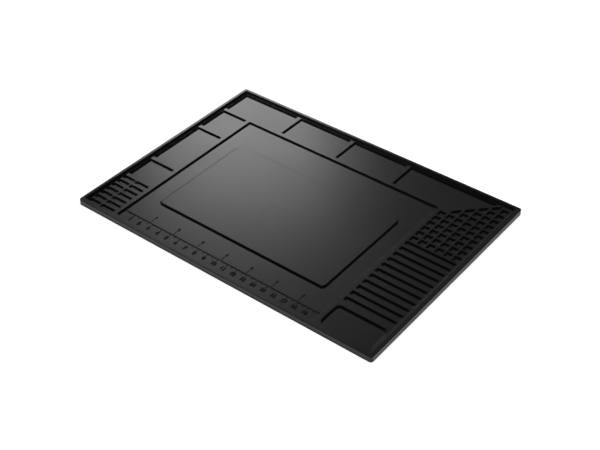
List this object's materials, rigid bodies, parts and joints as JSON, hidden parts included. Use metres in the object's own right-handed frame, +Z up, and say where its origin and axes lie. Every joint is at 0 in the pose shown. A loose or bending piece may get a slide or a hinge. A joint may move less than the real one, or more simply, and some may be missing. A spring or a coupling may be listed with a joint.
{
  "type": "self healing work mat",
  "caption": "Flat self healing work mat with a moulded rim, divided bays, small-parts cells, tool slots, a pen tray, a raised cutting panel and a ruler.",
  "frame": {"origin": "on the table under the middle of the mat", "axes": "+X along the mat's length towards the slots and pen tray, +Y to the back, away from the ruler, +Z up"},
  "size_m": [0.298, 0.218, 0.0052],
  "materials": {
    "backing": "matt black rubber backing",
    "core": "plain stiff sheet, hidden",
    "moulding": "satin black moulded silicone rubber",
    "panel": "satin black self healing sheet with a fine grain"
  },
  "bodies": {
    "root": {"base_sheet": "backing", "core_sheet": "core", "tray_moulding": "moulding", "cutting_panel": "panel"}
  },
  "joints": []
}
